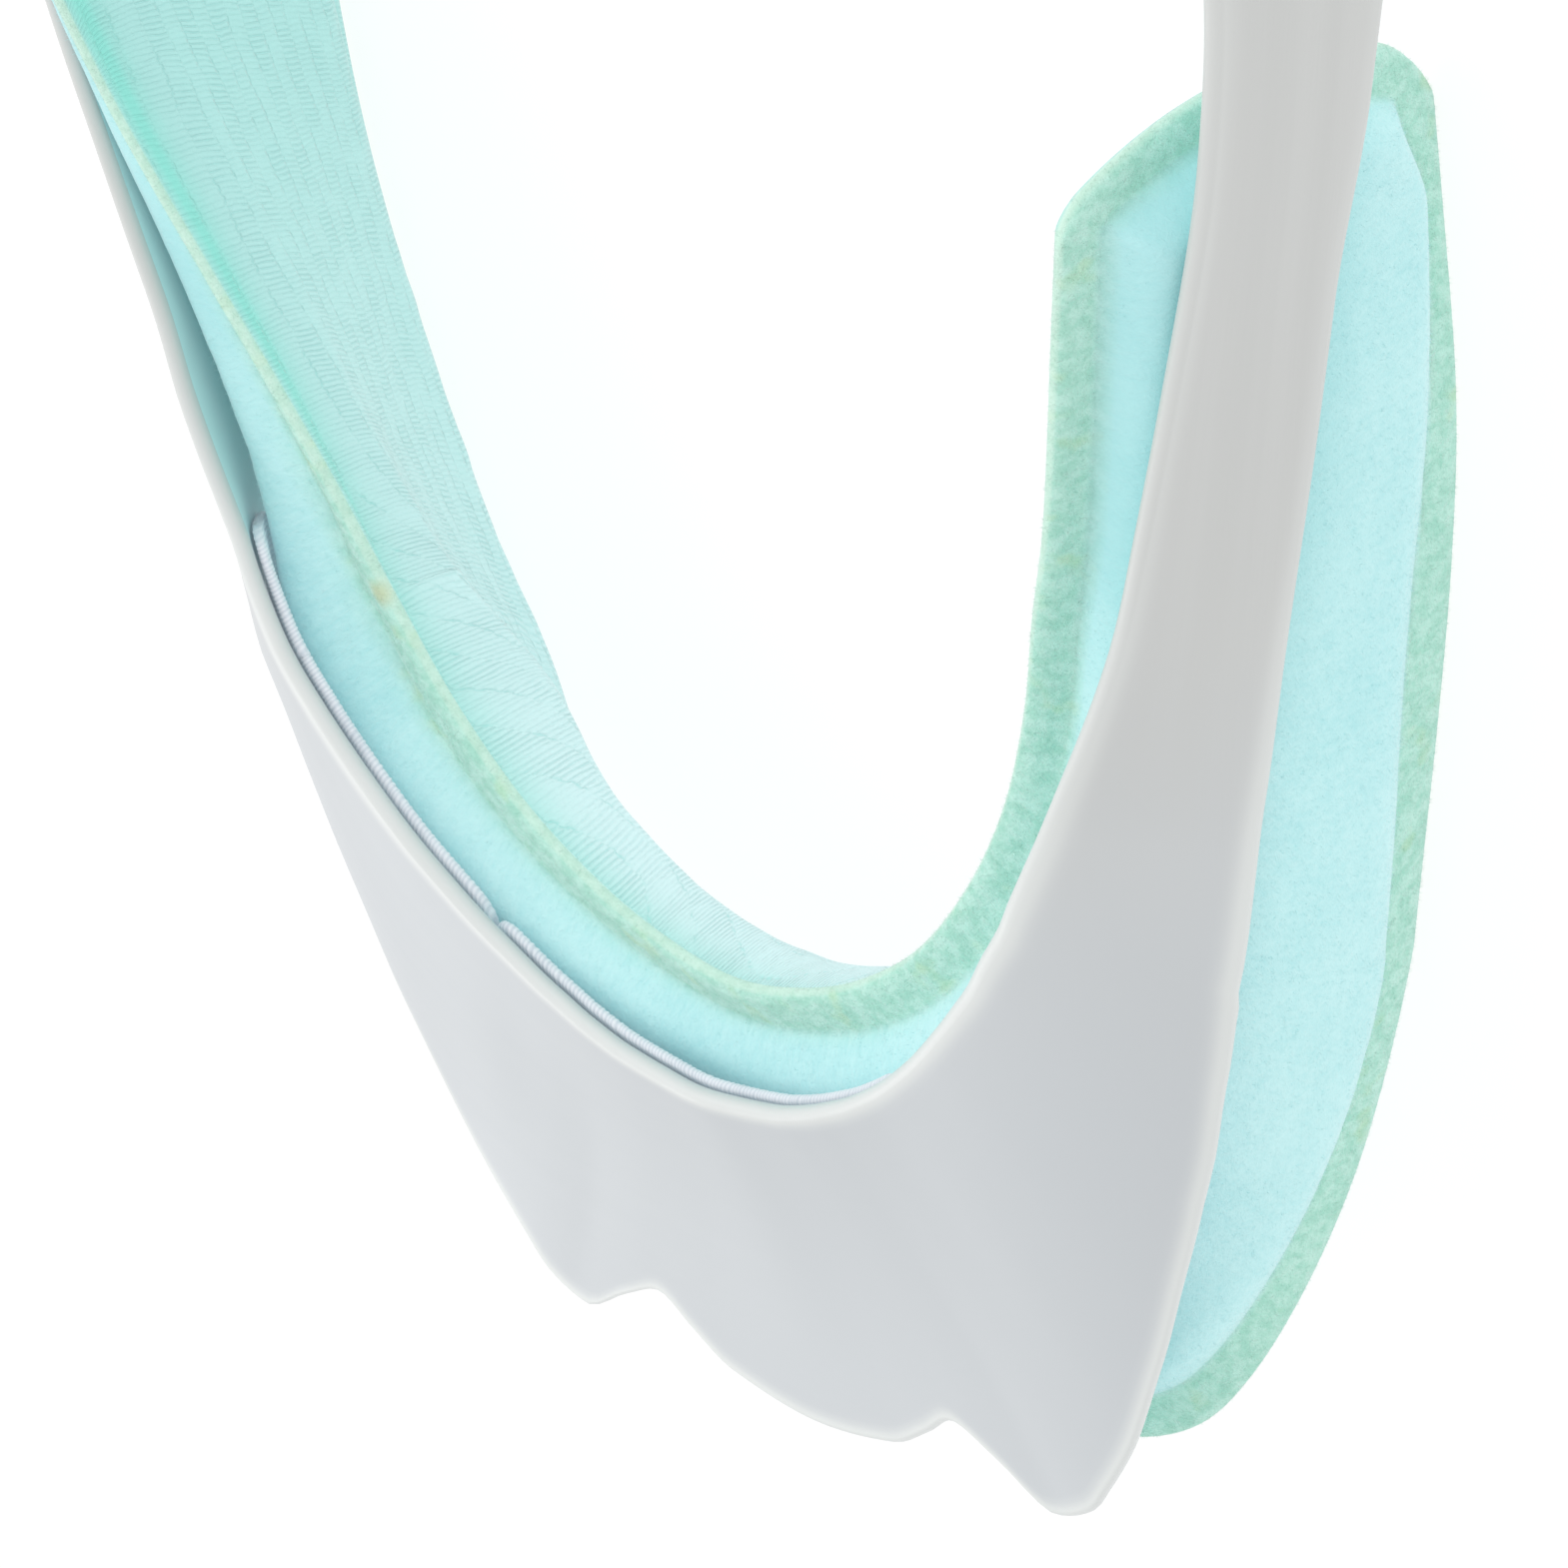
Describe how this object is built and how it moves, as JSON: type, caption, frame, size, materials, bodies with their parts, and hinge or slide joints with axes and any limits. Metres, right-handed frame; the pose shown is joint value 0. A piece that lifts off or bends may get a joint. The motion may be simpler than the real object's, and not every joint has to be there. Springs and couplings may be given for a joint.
{
  "type": "neck support collar",
  "caption": "U-shaped neck support collar: a thin moulded shell with a lobed front plate and narrow arms, lined with a thick foam pad held by hook tape",
  "frame": {"origin": "centre of the collar's box, on the surface that its feet rest on", "axes": "+Y runs back along the arms, so the front plate faces -Y; +Z is the head side; X is side to side and the collar is the same on both sides"},
  "size_m": [0.1684, 0.223, 0.0451],
  "materials": {
    "shell_plastic": "satin injection-moulded plastic, pale cool grey",
    "pad_foam": "mint foam laminated with brushed loop cloth on the shell side and ribbed knit on the neck side",
    "hook_tape": "woven grey-blue hook tape with a bumpy edge"
  },
  "bodies": {
    "root": {"shell": "shell_plastic", "pad": "pad_foam", "hook_tape_front": "hook_tape", "hook_tape_side_left": "hook_tape", "hook_tape_side_right": "hook_tape", "hook_tape_lower_left": "hook_tape", "hook_tape_lower_right": "hook_tape"}
  },
  "joints": []
}
